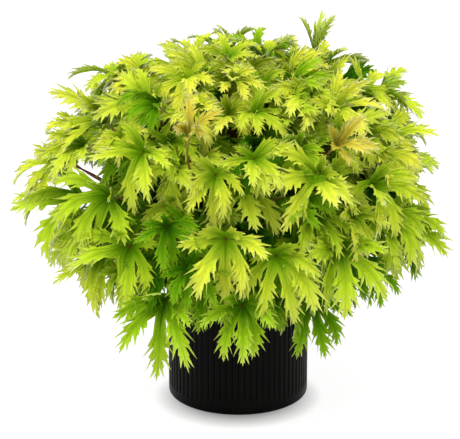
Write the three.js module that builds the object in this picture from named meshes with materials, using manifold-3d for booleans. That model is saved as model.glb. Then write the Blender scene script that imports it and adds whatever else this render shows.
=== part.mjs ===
// Potted coral bells: a mound of deeply cut lime leaves on long stalks, in a fluted black pot.
// Millimetres, +Z up. The origin is the centre of the pot's flat underside.

import * as THREE from "three";
import { mergeVertices } from "three/addons/utils/BufferGeometryUtils.js";
import Module from "manifold-3d";

const wasm = await Module();
wasm.setup();

// Pot
const POT_HEIGHT = 165;
const POT_RADIUS = 84; // over the ridges of the flutes
const FLUTES = 72;
const FLUTE_DEPTH = 1.5;
const FOOT_BAND = 12; // plain band below the flutes
const FOOT_ROUND = 4; // radius of the bottom edge
const FOOT_CORNER = FOOT_ROUND * (1 - Math.SQRT1_2); // the middle of that rounding
const RIM_BAND = 12; // plain lip above the flutes
const RIM_PROUD = 1.2; // how far the lip stands out past the ridges
const POT_WALL = 2.5;
const POT_FLOOR = 3;

// Soil
const SOIL_TOP = 146; // level of the flat seat under the crown
const SOIL_SEAT = 3; // flat ring of soil round the crown's foot
const SOIL_EDGE_DROP = 5;
const CLEARANCE = 0.3; // between neighbouring pieces

// Crown, the short woody foot that every stalk grows from
const CROWN_RADIUS = 13.3;
const CROWN_FLARE = 10; // extra radius at the soil
const CROWN_FLARE_FADE = 6; // how fast the flare dies away up the crown
const CROWN_CREST = 0.88; // share of the height where the top starts to round over
const CROWN_TIP = 0.3; // radius at the very top, as a share of the crown's
const CROWN_LEAN = 4;
const CROWN_BEND = 0.25; // share of the height where the crown leans over
const APEX = new THREE.Vector3(CROWN_LEAN, 0, 186); // the point that the crown forks from
const FORK_RADIUS = 13.2; // branches start this far from the apex, just clear of the crown
const BRANCH_LENGTH = 16;
const BRANCH_RADIUS = 4.2;
const STEM_LENGTH = 80; // woody stem inside a mass of foliage
const STEM_RADIUS = 3.2;
const STEM_TIP_RADIUS = 2;

// Mound of leaves, a full-shouldered ellipsoid that the outer leaf tips reach
const MOUND_CENTRE = new THREE.Vector3(-8, 0, 238);
const MOUND_RADIUS = 260;
const MOUND_RISE = 214;
const MOUND_FULLNESS = 2.5; // 2 is an ellipsoid, and more is boxier
const STRAY = 1.03; // how far past the mound's surface a tip may stray
const SKIRT_LOW = 126; // lowest leaf tip above the ground

// Leaves
const SEED = 5;
const SEED_STEP = 97; // from one mass to the next
const LEAF_THICKNESS = 0.028; // at the hub, as a share of the leaf's length
const COLLAR_DROP = 2; // how far the stalk's collar hangs below the blade
const STALK_RADIUS = 1.5;
const STALK_STEPS = 3;
const GOLDEN_ANGLE = Math.PI * (3 - Math.sqrt(5));
const TRIES = 480; // places tried on the spiral that fills a mass
const ROUNDS = 4; // times that the spiral goes from the middle of its mass to the edge
const SIZES_TRIED = [1, 0.84, 0.7, 0.58];
const SPACING = 0.6; // between neighbouring hubs, as a share of the shortest leaf
const OVERREACH = 36; // how far a leaf may reach into the next mass's cone, where it is empty
const JOINING = 40; // leaves may meet this close round their stem, where their stalks join
const POT_MARGIN = 2;
const TIP_FALL = 0.8; // how steeply a leaf's tip points down
const VARIETY = {
  depth: [0.66, 0.93], // of the hub, as a share of the mound's reach
  turn: [-0.8, 0.8], // of the tip from straight down, radians
  lean: [0.35, 1.0], // of the blade's face towards the sky
  rise: [0.1, 0.5], // slope of the blade at its hub, radians
  droop: [0.9, 1.9], // angle that a lobe arches through, radians
  root: [0.15, 0.95], // where the stalk leaves the stem, as a share of the stem's length
};
const SHOWY_DEPTH = 0.88;
const SHOWY_LEAN = 0.55;

// How a stalk curves, in shares of its span: its first control lies this far along the straight line to
// the leaf, pushed out along the stem and up, and its second lies below the leaf and behind it
const STALK_BEND = { along: 0.25, out: 0.1, up: 0.08, below: 0.22, behind: 0.1 };

// Lobes of a leaf from the middle one outwards: angle from the tip, and length
const LOBES = [
  { angle: 0, length: 1.0, shoulders: true },
  { angle: 41, length: 0.93, shoulders: true },
  { angle: 84, length: 0.76, shoulders: true },
  { angle: 130, length: 0.5, shoulders: false },
];
const NOTCH = 0.46; // depth of a cut between lobes, as a share of the lobes' length
const SHOULDER = 0.72; // where a lobe is widest, along its length
const SHOULDER_ANGLE = 15;
const SINUS = 0.12; // the notch where the stalk comes in

// Whorls of foliage masses, each spaced evenly round the crown: how many masses there are, how steeply
// they grow, the most leaves that one holds, how long these are, and how wide its spiral opens
const WHORLS = [
  { name: "top", count: 1, elevation: 90, turn: 0, most: 25, length: [56, 78], spread: 44 },
  { name: "side", count: 5, elevation: 18, turn: 34, most: 26, length: [68, 94], spread: 62 },
];

// Showy leaves that mark the front and the edge of the mound: azimuth and elevation of the hub from
// the apex, length, turn of the tip from straight down, and depth of the hub where it isn't the usual
const SHOWY = [
  [180, 20, 80, 40, 0.94], // far left
  [190, 30, 80, 50],
  [200, 45, 80, -40], // shoulder on the left
  [225, 25, 90, -30], // low on the left
  [235, 15, 70, -10],
  [245, 5, 85, -10], // hanging over the pot, left of the middle
  [255, 30, 60, 0],
  [265, 20, 70, 0], // middle of the front
  [270, 0, 65, 0],
  [280, 15, 75, 10],
  [250, 50, 60, 160], // young leaf that still stands up
  [295, 35, 75, -60], // wide leaf right of the middle
  [300, 15, 80, -10],
  [315, 30, 70, 10],
  [325, 20, 90, 30], // low on the right
  [345, 15, 90, 10],
  [10, 40, 80, 0], // shoulder on the right
  [20, 50, 60, 0],
  [45, 65, 64, 0, 1.0], // the tallest sprig
];

const BARK = { color: "#5a3a26", roughness: 0.9, metalness: 0 };
const LIME = { color: "#a9c42c", roughness: 0.55, metalness: 0 };
const BLACK = { color: "#141412", roughness: 0.45, metalness: 0 };
const EARTH = { color: "#2b2018", roughness: 1, metalness: 0 };

const UP = new THREE.Vector3(0, 0, 1);
const radians = THREE.MathUtils.degToRad;
const lerp = THREE.MathUtils.lerp;
const between = ([low, high], share) => lerp(low, high, share);

// A small seeded random generator, so that every build grows the same plant.
function seeded(seed) {
  let state = seed >>> 0;
  return () => {
    state = (state + 0x6d2b79f5) >>> 0;
    let t = Math.imul(state ^ (state >>> 15), state | 1);
    t = (t + Math.imul(t ^ (t >>> 7), t | 61)) ^ t;
    return ((t ^ (t >>> 14)) >>> 0) / 4294967296;
  };
}

function solid(geometry) {
  const bare = geometry.clone();
  bare.deleteAttribute("normal");
  bare.deleteAttribute("uv");
  const merged = mergeVertices(bare, 1e-4);
  const mesh = new wasm.Mesh({
    numProp: 3,
    vertProperties: new Float32Array(merged.getAttribute("position").array),
    triVerts: new Uint32Array(merged.index.array),
  });
  return new wasm.Manifold(mesh);
}

function geometryOf(made) {
  const mesh = made.getMesh();
  const geometry = new THREE.BufferGeometry();
  geometry.setAttribute("position", new THREE.BufferAttribute(mesh.vertProperties, 3));
  geometry.setIndex(new THREE.BufferAttribute(mesh.triVerts, 1));
  return geometry;
}

// Fuses the pieces into one body, without loose scraps or sealed hollows.
function fused(pieces) {
  const whole = pieces.reduce((sum, piece) => sum.add(piece));
  const bodies = whole.decompose().sort((a, b) => b.volume() - a.volume());
  return geometryOf(bodies[0]);
}

// A solid of revolution about +Z from a closed profile of [radius, height] points.
function turned(profile, sides) {
  const points = profile.map(([radius, height]) => new THREE.Vector2(radius, height));
  return new THREE.LatheGeometry(points, sides).rotateX(Math.PI / 2);
}

// A round limb along a curve: a capped cylinder whose rings are moved onto the curve.
function limb(curve, radiusAt, sides, steps) {
  const tube = new THREE.CylinderGeometry(1, 1, 1, sides, steps);
  const place = tube.getAttribute("position");
  const across = new THREE.Vector3();
  for (let i = 0; i < place.count; i++) {
    const along = place.getY(i) + 0.5;
    const heading = curve.getTangent(along);
    const side = Math.abs(heading.x) < 0.8 ? new THREE.Vector3(1, 0, 0) : new THREE.Vector3(0, 1, 0);
    side.addScaledVector(heading, -side.dot(heading)).normalize();
    across.crossVectors(side, heading);
    const point = curve.getPoint(along);
    point.addScaledVector(side, place.getX(i) * radiusAt(along));
    point.addScaledVector(across, place.getZ(i) * radiusAt(along));
    place.setXYZ(i, point.x, point.y, point.z);
  }
  return tube;
}

function potGeometry() {
  const groove = POT_RADIUS - FLUTE_DEPTH;
  const lip = POT_RADIUS + RIM_PROUD;
  const inside = groove - POT_WALL;
  const shoulder = POT_HEIGHT - RIM_BAND;
  const shell = turned([
    [0, 0],
    [POT_RADIUS - FOOT_ROUND, 0],
    [POT_RADIUS - FOOT_CORNER, FOOT_CORNER],
    [POT_RADIUS, FOOT_ROUND],
    [POT_RADIUS, FOOT_BAND],
    [groove, FOOT_BAND],
    [groove, shoulder],
    [lip, shoulder],
    [lip, POT_HEIGHT],
    [inside, POT_HEIGHT],
    [inside, POT_FLOOR],
    [0, POT_FLOOR],
  ], FLUTES);
  const ridges = new THREE.Shape();
  for (let i = 0; i < 2 * FLUTES; i++) {
    const angle = Math.PI * i / FLUTES;
    const radius = i % 2 ? groove - CLEARANCE : POT_RADIUS;
    const corner = [radius * Math.cos(angle), radius * Math.sin(angle)];
    if (i === 0) ridges.moveTo(...corner);
    else ridges.lineTo(...corner);
  }
  const bore = new THREE.Path().absarc(0, 0, groove - POT_WALL / 2, 0, 2 * Math.PI, true);
  ridges.holes.push(bore);
  const depth = shoulder - FOOT_BAND + 2 * CLEARANCE;
  const flutes = new THREE.ExtrudeGeometry(ridges, { depth, bevelEnabled: false, curveSegments: FLUTES / 2 });
  flutes.translate(0, 0, FOOT_BAND - CLEARANCE);
  return fused([solid(shell), solid(flutes)]);
}

function soilGeometry() {
  const radius = POT_RADIUS - FLUTE_DEPTH - POT_WALL - CLEARANCE;
  const seat = CROWN_RADIUS + CROWN_FLARE + SOIL_SEAT;
  return turned([
    [0, POT_FLOOR + CLEARANCE],
    [radius, POT_FLOOR + CLEARANCE],
    [radius, SOIL_TOP - SOIL_EDGE_DROP],
    [(radius + seat) / 2, SOIL_TOP - SOIL_EDGE_DROP / 3],
    [seat, SOIL_TOP],
    [0, SOIL_TOP],
  ], FLUTES / 2);
}

function crownGeometry() {
  const foot = new THREE.Vector3(0, 0, SOIL_TOP + CLEARANCE);
  const low = lerp(SOIL_TOP, APEX.z, CROWN_BEND);
  const tip = APEX.clone().addScaledVector(UP, FORK_RADIUS - CLEARANCE);
  const curve = new THREE.CubicBezierCurve3(
    foot,
    new THREE.Vector3(foot.x, 0, low),
    new THREE.Vector3(tip.x, 0, low),
    tip,
  );
  const radiusAt = (t) => {
    const over = Math.max(0, t - CROWN_CREST) / (1 - CROWN_CREST);
    const crest = Math.sqrt(1 - (1 - CROWN_TIP ** 2) * over ** 2);
    return CROWN_RADIUS * crest + CROWN_FLARE * Math.exp(-CROWN_FLARE_FADE * t);
  };
  return limb(curve, radiusAt, 16, 12);
}

function direction(azimuth, elevation) {
  const level = Math.cos(elevation);
  return new THREE.Vector3(level * Math.cos(azimuth), level * Math.sin(azimuth), Math.sin(elevation));
}

// A straight stretch of wood along an axis from the apex.
function woodLine(axis, from, to) {
  return new THREE.LineCurve3(
    APEX.clone().addScaledVector(axis, from),
    APEX.clone().addScaledVector(axis, to),
  );
}

// The masses of foliage, each with its axis from the crown's apex and the woody stem along it.
const masses = WHORLS.flatMap((whorl) =>
  Array.from({ length: whorl.count }, (_, i) => {
    const axis = direction(radians(whorl.turn + (360 * i) / whorl.count), radians(whorl.elevation));
    const start = whorl.count > 1 ? FORK_RADIUS + BRANCH_LENGTH : FORK_RADIUS;
    const stem = woodLine(axis, start + CLEARANCE, start + STEM_LENGTH);
    const wood = solid(limb(stem, (t) => lerp(STEM_RADIUS, STEM_TIP_RADIUS, t), 6, 1));
    const suffix = whorl.count > 1 ? `${whorl.name}_${i + 1}` : whorl.name;
    return { ...whorl, suffix, axis, stem, wood, leaves: [] };
  }),
);

// Each mass keeps to the cone of directions that lie nearer its own axis than any other's.
masses.forEach((mass, index) => {
  const others = masses.filter((other) => other !== mass);
  mass.walls = others.map((other) => mass.axis.clone().sub(other.axis).normalize());
  mass.seed = SEED + SEED_STEP * index;
});

function insideCell(mass, point, overreach) {
  const offset = point.clone().sub(APEX);
  return mass.walls.every((wall) => offset.dot(wall) > -overreach);
}

// 1 on the mound's surface, and less inside it.
function moundLevel(point) {
  const across = Math.hypot(point.x - MOUND_CENTRE.x, point.y - MOUND_CENTRE.y) / MOUND_RADIUS;
  const high = Math.abs(point.z - MOUND_CENTRE.z) / MOUND_RISE;
  return (across ** MOUND_FULLNESS + high ** MOUND_FULLNESS) ** (1 / MOUND_FULLNESS);
}

// Distance from the apex to the mound's surface in a direction, by halving.
function moundReach(way) {
  let near = 0;
  let far = 2 * MOUND_RADIUS;
  while (far - near > CLEARANCE) {
    const middle = (near + far) / 2;
    if (moundLevel(APEX.clone().addScaledVector(way, middle)) < 1) near = middle;
    else far = middle;
  }
  return near;
}

// The way that the mound's surface faces at a point.
function moundOutward(point) {
  const offset = point.clone().sub(MOUND_CENTRE);
  const across = Math.hypot(offset.x, offset.y);
  const slope = (across / MOUND_RADIUS) ** (MOUND_FULLNESS - 1) / MOUND_RADIUS / Math.max(across, CLEARANCE);
  const rise = (Math.abs(offset.z) / MOUND_RISE) ** (MOUND_FULLNESS - 1) / MOUND_RISE;
  return new THREE.Vector3(offset.x * slope, offset.y * slope, rise * Math.sign(offset.z)).normalize();
}

function clearOfPot(point) {
  const radius = Math.hypot(point.x, point.y);
  const lip = POT_RADIUS + RIM_PROUD + POT_MARGIN;
  return radius > lip || point.z > POT_HEIGHT + POT_MARGIN;
}

// A leaf's outline as [angle, radius] round its hub, for a leaf of length 1 that points along +Y.
function leafOutline() {
  const half = [];
  LOBES.forEach((lobe, i) => {
    const angle = radians(lobe.angle);
    const shoulder = radians(SHOULDER_ANGLE);
    if (i > 0) {
      const before = LOBES[i - 1];
      const middle = radians((lobe.angle + before.angle) / 2);
      half.push([middle, NOTCH * Math.min(lobe.length, before.length)]);
    }
    if (lobe.shoulders && i > 0) half.push([angle - shoulder, SHOULDER * lobe.length]);
    half.push([angle, lobe.length]);
    if (lobe.shoulders) half.push([angle + shoulder, SHOULDER * lobe.length]);
  });
  const mirrored = half.slice(1).reverse().map(([angle, radius]) => [-angle, radius]);
  return [...half, [Math.PI, SINUS], ...mirrored];
}
const OUTLINE = leafOutline();

// A point of a blade. It rises from the hub and its lobes arch over: rise is the slope at the hub and
// droop the angle that it turns through by the tip, in radians.
function bladePoint(place, angle, radius) {
  const { length, rise, droop } = place;
  const turn = droop * radius;
  const out = (length * (Math.sin(rise) - Math.sin(rise - turn))) / droop;
  const high = (length * (Math.cos(rise - turn) - Math.cos(rise))) / droop;
  return new THREE.Vector3(-Math.sin(angle) * out, Math.cos(angle) * out, high).applyMatrix4(place.frame);
}

// The three corners of a stalk where it passes through a point.
function stalkRing(centre, heading, side) {
  const across = new THREE.Vector3().crossVectors(heading, side);
  return [0, 1, 2].map((corner) => {
    const angle = ((corner + 0.5) * 2 * Math.PI) / 3;
    const point = centre.clone().addScaledVector(side, STALK_RADIUS * Math.cos(angle));
    return point.addScaledVector(across, STALK_RADIUS * Math.sin(angle));
  });
}

// A leaf on its stalk as one closed mesh. The blade is thick at the hub and sharp at the edge, and its
// underside closes on a collar that the stalk runs down from, to the curve's start.
function leafGeometry(place, curve) {
  const rim = OUTLINE.map(([angle, radius]) => bladePoint(place, angle, radius));
  const lift = (place.length * LEAF_THICKNESS) / 2;
  const hub = place.hub.clone().addScaledVector(place.normal, lift);
  const collar = place.hub.clone().addScaledVector(place.normal, -lift - COLLAR_DROP);
  const side = place.ahead.clone();
  const rings = [stalkRing(collar, place.normal, side)];
  for (let step = STALK_STEPS - 1; step >= 0; step--) {
    const heading = curve.getTangent(step / STALK_STEPS);
    side.addScaledVector(heading, -side.dot(heading)).normalize();
    rings.push(stalkRing(curve.getPoint(step / STALK_STEPS), heading, side));
  }
  const count = rim.length;
  const ring = (level, corner) => count + 1 + 3 * level + (corner % 3);
  const sector = (i) => Math.floor((((OUTLINE[i][0] / (2 * Math.PI)) % 1) + 1) * 3) % 3;
  const index = [];
  for (let i = 0; i < count; i++) {
    const next = (i + 1) % count;
    index.push(count, i, next, ring(0, sector(i)), next, i);
    if (sector(next) !== sector(i)) index.push(ring(0, sector(i)), ring(0, sector(next)), next);
  }
  for (let level = 0; level < STALK_STEPS; level++) {
    for (let corner = 0; corner < 3; corner++) {
      const upper = [ring(level, corner), ring(level, corner + 1)];
      const lower = [ring(level + 1, corner), ring(level + 1, corner + 1)];
      index.push(upper[0], lower[0], lower[1], upper[0], lower[1], upper[1]);
    }
  }
  index.push(ring(STALK_STEPS, 0), ring(STALK_STEPS, 2), ring(STALK_STEPS, 1));
  return new THREE.BufferGeometry().setFromPoints([...rim, hub, ...rings.flat()]).setIndex(index);
}

// A leaf's place: its hub, its frame and its shape. The tip points down and out, turned by turn.
function leafPlace(way, depth, turn, lean, shape) {
  const hub = APEX.clone().addScaledVector(way, depth * moundReach(way));
  const outward = moundOutward(hub);
  const normal = outward.clone().addScaledVector(UP, lean).normalize();
  const ahead = outward.clone().addScaledVector(UP, -TIP_FALL).applyAxisAngle(normal, turn);
  ahead.addScaledVector(normal, -ahead.dot(normal)).normalize();
  const right = new THREE.Vector3().crossVectors(ahead, normal);
  const frame = new THREE.Matrix4().makeBasis(right, ahead, normal).setPosition(hub);
  return { hub, normal, ahead, frame, ...shape };
}

// A leaf's own shape, from three draws: how it rises, how it droops and where its stalk is rooted.
function leafShape(length, draw) {
  return {
    length,
    rise: between(VARIETY.rise, draw[0]),
    droop: between(VARIETY.droop, draw[1]),
    root: between(VARIETY.root, draw[2]),
  };
}

function showyPlaces(random) {
  return SHOWY.map(([azimuth, elevation, length, turn, depth = SHOWY_DEPTH]) => {
    const way = direction(radians(azimuth), radians(elevation));
    const shape = leafShape(length, Array.from({ length: 3 }, random));
    return { showy: true, ...leafPlace(way, depth, radians(turn), SHOWY_LEAN, shape) };
  });
}

// Place number k on the spiral that fills a mass, with the same number of draws for every try.
function spiralPlace(mass, k, random) {
  const draw = Array.from({ length: 8 }, random);
  const away = radians(mass.spread) * Math.sqrt((((k + 0.5) * ROUNDS) / TRIES) % 1);
  const round = k * GOLDEN_ANGLE + draw[0];
  const level = mass.count > 1 ? UP : new THREE.Vector3(1, 0, 0);
  const side = new THREE.Vector3().crossVectors(level, mass.axis).normalize();
  const lift = new THREE.Vector3().crossVectors(mass.axis, side);
  const way = mass.axis.clone().multiplyScalar(Math.cos(away));
  way.addScaledVector(side, Math.sin(away) * Math.cos(round));
  way.addScaledVector(lift, Math.sin(away) * Math.sin(round));
  const depth = between(VARIETY.depth, Math.sqrt(draw[1]));
  const turn = between(VARIETY.turn, draw[2]);
  const lean = between(VARIETY.lean, draw[3]);
  const shape = leafShape(between(mass.length, draw[4]), draw.slice(5));
  return leafPlace(way, depth, turn, lean, shape);
}

// The stalk leaves the woody stem towards its leaf, and meets the leaf from below and behind.
function stalkCurve(mass, place) {
  const root = mass.stem.getPoint(place.root);
  const span = root.distanceTo(place.hub);
  const leave = root.clone().lerp(place.hub, STALK_BEND.along);
  leave.addScaledVector(mass.axis, span * STALK_BEND.out).addScaledVector(UP, span * STALK_BEND.up);
  const arrive = place.hub.clone().addScaledVector(place.normal, -span * STALK_BEND.below);
  arrive.addScaledVector(place.ahead, -span * STALK_BEND.behind);
  return new THREE.CubicBezierCurve3(root, leave, arrive, place.hub);
}

// Points spread over a mesh: every corner, and the thirds of every edge.
function pointsOver(geometry) {
  const place = geometry.getAttribute("position");
  const index = geometry.index.array;
  const points = [];
  for (let i = 0; i < index.length; i++) {
    const next = i % 3 === 2 ? i - 2 : i + 1;
    const from = new THREE.Vector3().fromBufferAttribute(place, index[i]);
    const to = new THREE.Vector3().fromBufferAttribute(place, index[next]);
    points.push(from, from.clone().lerp(to, 1 / 3), from.clone().lerp(to, 2 / 3));
  }
  return points;
}

// Whether what two leaves share is nothing, or lies where their stalks join the stem.
function meetAtStem(stem, shared) {
  if (shared.isEmpty()) return true;
  const { min, max } = shared.boundingBox();
  const corners = [new THREE.Vector3(...min), new THREE.Vector3(...max)];
  const line = new THREE.Line3(stem.v1, stem.v2);
  return corners.every((corner) => {
    const nearest = line.closestPointToPoint(corner, true, new THREE.Vector3());
    return nearest.distanceTo(corner) < JOINING;
  });
}

function apart(one, other) {
  const a = one.boundingBox();
  const b = other.boundingBox();
  const far = [0, 1, 2].some((i) => a.min[i] > b.max[i] + CLEARANCE || b.min[i] > a.max[i] + CLEARANCE);
  return far || one.minGap(other, 2 * CLEARANCE) > CLEARANCE;
}

// A leaf at the first size that keeps to its own space and crosses no other leaf, or nothing.
function grownLeaf(mass, place, grown, neighbours) {
  for (const size of SIZES_TRIED) {
    const sized = { ...place, length: place.length * size };
    const geometry = leafGeometry(sized, stalkCurve(mass, sized));
    const fits = pointsOver(geometry).every((point) => {
      const within = place.showy || (point.z > SKIRT_LOW && moundLevel(point) < STRAY);
      return within && insideCell(mass, point, OVERREACH) && clearOfPot(point);
    });
    if (!fits) continue;
    const leaf = { hub: place.hub, body: solid(geometry) };
    const untangled = grown.every((other) => meetAtStem(mass.stem, leaf.body.intersect(other.body)));
    if (untangled && neighbours.every((other) => apart(leaf.body, other))) return leaf;
  }
  return null;
}

// The leaves of one mass, clear of its neighbours: the limbs, and what has grown on the other masses.
function grownLeaves(mass, neighbours) {
  const random = seeded(mass.seed);
  const grown = [];
  const grow = (place) => {
    const spacing = SPACING * mass.length[0];
    const crowded = grown.some((leaf) => leaf.hub.distanceTo(place.hub) < spacing);
    if (grown.length >= mass.most || crowded || !insideCell(mass, place.hub, 0)) return;
    const leaf = grownLeaf(mass, place, grown, neighbours);
    if (leaf) grown.push(leaf);
  };
  showyPlaces(random).forEach(grow);
  for (let k = 0; k < TRIES; k++) grow(spiralPlace(mass, k, random));
  return grown.map((leaf) => leaf.body);
}

function branchGeometry(mass) {
  const curve = woodLine(mass.axis, FORK_RADIUS + CLEARANCE, FORK_RADIUS + BRANCH_LENGTH);
  return limb(curve, (t) => lerp(BRANCH_RADIUS, STEM_RADIUS, t), 8, 2);
}

function addNode(group, name, geometry, look) {
  const mesh = new THREE.Mesh(geometry, new THREE.MeshStandardMaterial(look));
  mesh.name = name;
  group.add(mesh);
}

const plant = new THREE.Group();
addNode(plant, "pot", potGeometry(), BLACK);
addNode(plant, "soil", soilGeometry(), EARTH);
addNode(plant, "crown", crownGeometry(), BARK);
masses.filter((mass) => mass.count > 1).forEach((mass) => {
  addNode(plant, `branch_${mass.suffix}`, branchGeometry(mass), BARK);
});
const limbs = plant.children.slice(2).map((mesh) => solid(mesh.geometry));
masses.forEach((mass) => {
  const others = masses.filter((other) => other !== mass).flatMap((other) => [other.wood, ...other.leaves]);
  mass.leaves.push(...grownLeaves(mass, [...limbs, ...others]));
});
masses.forEach((mass) => {
  addNode(plant, `foliage_${mass.suffix}`, fused([mass.wood, ...mass.leaves]), LIME);
});

export default plant;
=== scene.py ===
"""Looks of the potted coral bells: lime leaves on long stalks over a fluted black pot, in a white studio."""

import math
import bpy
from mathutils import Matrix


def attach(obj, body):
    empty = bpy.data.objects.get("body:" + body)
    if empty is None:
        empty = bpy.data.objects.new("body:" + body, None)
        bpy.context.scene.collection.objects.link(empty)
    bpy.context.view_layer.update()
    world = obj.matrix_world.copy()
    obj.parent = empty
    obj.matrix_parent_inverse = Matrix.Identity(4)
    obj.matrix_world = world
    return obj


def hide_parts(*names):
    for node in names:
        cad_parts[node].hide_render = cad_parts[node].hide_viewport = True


bl_info = {
    "name": "Potted coral bells",
    "version": (1, 0, 0),
    "blender": (4, 5, 0),
    "location": "View3D > Sidebar > Coral bells",
    "description": "Grows a mound of deeply cut lime leaves in a fluted black pot",
    "category": "Add Mesh",
}

import bmesh
import bpy
import numpy as np
from mathutils import Matrix, Vector, noise
from mathutils.bvhtree import BVHTree

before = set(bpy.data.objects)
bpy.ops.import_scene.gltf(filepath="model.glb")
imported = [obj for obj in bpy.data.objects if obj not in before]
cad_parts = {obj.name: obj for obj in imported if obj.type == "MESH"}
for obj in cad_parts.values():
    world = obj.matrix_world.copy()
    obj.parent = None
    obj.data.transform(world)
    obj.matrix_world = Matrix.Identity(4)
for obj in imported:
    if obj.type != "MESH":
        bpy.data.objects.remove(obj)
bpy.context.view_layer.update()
BODY = "root"
MAP_NAME = "OFBake"
UP = Vector((0, 0, 1))
RIGHT = Vector((1, 0, 0))
BACK = Vector((0, 1, 0))
FRONT = -BACK
FULL_TURN = 2 * math.pi
MILLIMETRE = 0.001
TINY = 1e-6


def paint(red, green, blue):
    """A colour of 0 to 255 in each channel as a screen shows it, in the linear values that shaders take."""
    shares = (value / 255 for value in (red, green, blue))
    return tuple(s / 12.92 if s <= 0.04045 else ((s + 0.055) / 1.055) ** 2.4 for s in shares)


def darker(colour, share):
    """A colour at a share of its brightness."""
    return tuple(share * value for value in colour)


# Lobes of a leaf from right to left: angle from the tip in degrees, length, and whether it is a small one
LOBES = (
    (-130, 0.58, True),
    (-84, 0.82, False),
    (-41, 0.95, False),
    (0, 1.00, False),
    (41, 0.95, False),
    (84, 0.82, False),
    (130, 0.58, True),
)

# Stations along a lobe's midrib from the hub to the tip, as shares of its length
MIDRIB = (0.0, 0.14, 0.28, 0.42, 0.55, 0.68, 0.83, 1.0)
SMALL_MIDRIB = (0.0, 0.26, 0.52, 0.78, 1.0)

# Half of a lobe's toothed edge from the cut beside it towards its tip: along and across the midrib, as
# shares of the lobe's length, and the midrib station that the point is joined to
LOBE_EDGE = (
    (0.43, 0.125, 3),
    (0.53, 0.215, 3),
    (0.545, 0.175, 3),
    (0.68, 0.300, 3),
    (0.58, 0.160, 3),
    (0.555, 0.095, 3),
    (0.68, 0.190, 4),
    (0.695, 0.150, 4),
    (0.85, 0.240, 4),
    (0.74, 0.120, 4),
    (0.71, 0.062, 4),
    (0.80, 0.110, 5),
    (0.82, 0.085, 5),
    (0.95, 0.135, 5),
    (0.84, 0.032, 5),
    (0.94, 0.055, 6),
    (0.92, 0.024, 6),
)
SMALL_EDGE = (
    (0.46, 0.17, 2),
    (0.66, 0.28, 2),
    (0.62, 0.17, 2),
    (0.84, 0.20, 2),
    (0.74, 0.09, 2),
    (0.92, 0.09, 3),
    (0.88, 0.04, 3),
)

# The midrib station that the cut beside a lobe is joined to
CUT_STATION = 2
SMALL_CUT_STATION = 1

# Showy leaves that mark the front and the edge of the mound: azimuth and elevation of the hub from the
# apex, length in millimetres, turn of the tip from straight down, depth of the hub as a share of the
# mound's reach, how much steeper its lobes rise, and tone
SHOWY = (
    (180, 15, 50, 20, 0.87, 0.0, "lime"),
    (190, 28, 70, 5, 0.84, 0.0, "bright"),
    (198, 36, 62, 15, 0.82, 0.0, "lime"),
    (172, 55, 80, -20, 0.86, 0.0, "lime"),
    (200, 45, 76, -40, 0.82, 0.0, "bright"),
    (200, 21, 100, -5, 0.76, 0.0, "middle"),
    (218, 8, 78, 0, 0.74, 0.0, "lime"),
    (224, 27, 92, -20, 0.80, 0.0, "middle"),
    (235, 15, 80, -10, 0.82, 0.0, "middle"),
    (246, 0, 94, 0, 0.80, 0.0, "fresh"),
    (235, 40, 76, 0, 0.86, 0.0, "lime"),
    (252, 44, 54, 150, 0.92, 0.5, "amber"),
    (261, 37, 66, 0, 0.82, 0.0, "bright"),
    (274, 41, 64, 5, 0.84, 0.0, "lime"),
    (255, 30, 76, 0, 0.84, 0.0, "gold"),
    (265, 20, 80, 0, 0.82, 0.0, "bright"),
    (270, 0, 74, 0, 0.82, 0.0, "fresh"),
    (280, 15, 84, 10, 0.82, 0.0, "lime"),
    (295, 35, 84, -60, 0.84, 0.0, "bright"),
    (300, 15, 86, -10, 0.84, 0.0, "middle"),
    (297, -6, 70, 0, 0.70, 0.0, "green"),
    (302, 41, 56, 60, 0.90, 0.2, "amber"),
    (312, 52, 70, 60, 0.86, 0.0, "gold"),
    (315, 30, 78, 10, 0.84, 0.0, "lime"),
    (321, 3, 58, 10, 0.76, 0.0, "green"),
    (321, 21, 84, 0, 0.80, 0.0, "middle"),
    (343, 16, 92, -35, 0.74, 0.0, "middle"),
    (354, 24, 80, 0, 0.74, 0.0, "lime"),
    (2, 32, 70, -10, 0.76, 0.0, "middle"),
    (342, 40, 80, 20, 0.78, 0.0, "bright"),
    (10, 47, 84, 0, 0.82, 0.0, "lime"),
    (28, 62, 66, 0, 0.83, 0.0, "bright"),
    (46, 59, 58, 180, 0.88, 0.6, "lime"),
    (100, 74, 52, 180, 0.86, 0.4, "bright"),
    (0, 83, 60, 90, 0.87, 0.2, "bright"),
)

# Gaps between the leaves where the photograph shows sky: middle from left to right and in height, and half
# of the width and height, in metres. A gap runs straight back from the camera.
GAPS = (
    (-0.188, 0.262, 0.026, 0.020),
    (-0.236, 0.222, 0.018, 0.032),
    (0.222, 0.257, 0.018, 0.026),
    (0.183, 0.157, 0.012, 0.026),
)

# Layers of leaves that fill the mound from its surface inwards: the range of the hubs' depth as a share
# of the mound's reach, the leaves' length, the least distance between hubs, the share of a blade that
# may cross no other, and how often each tone falls, from the palest to the deepest
# The inner layers take deeper tones: partly the inner leaves' own deeper green, partly painted shade inside
# the mound
LAYERS = (
    {
        "depth": (0.76, 0.90),
        "length": (0.070, 0.098),
        "spacing": 0.037,
        "crossing": 0.56,
        "tones": (("gold", 1), ("bright", 3), ("lime", 4), ("middle", 5), ("fresh", 5), ("green", 2)),
    },
    {
        "depth": (0.62, 0.76),
        "length": (0.070, 0.092),
        "spacing": 0.036,
        "crossing": 0.5,
        "tones": (("lime", 2), ("middle", 3), ("fresh", 3), ("green", 5), ("deep", 4)),
    },
    {
        "depth": (0.28, 0.62),
        "length": (0.066, 0.084),
        "spacing": 0.032,
        "crossing": 0.3,
        "tones": (("fresh", 1), ("green", 2), ("deep", 6)),
    },
)

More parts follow.
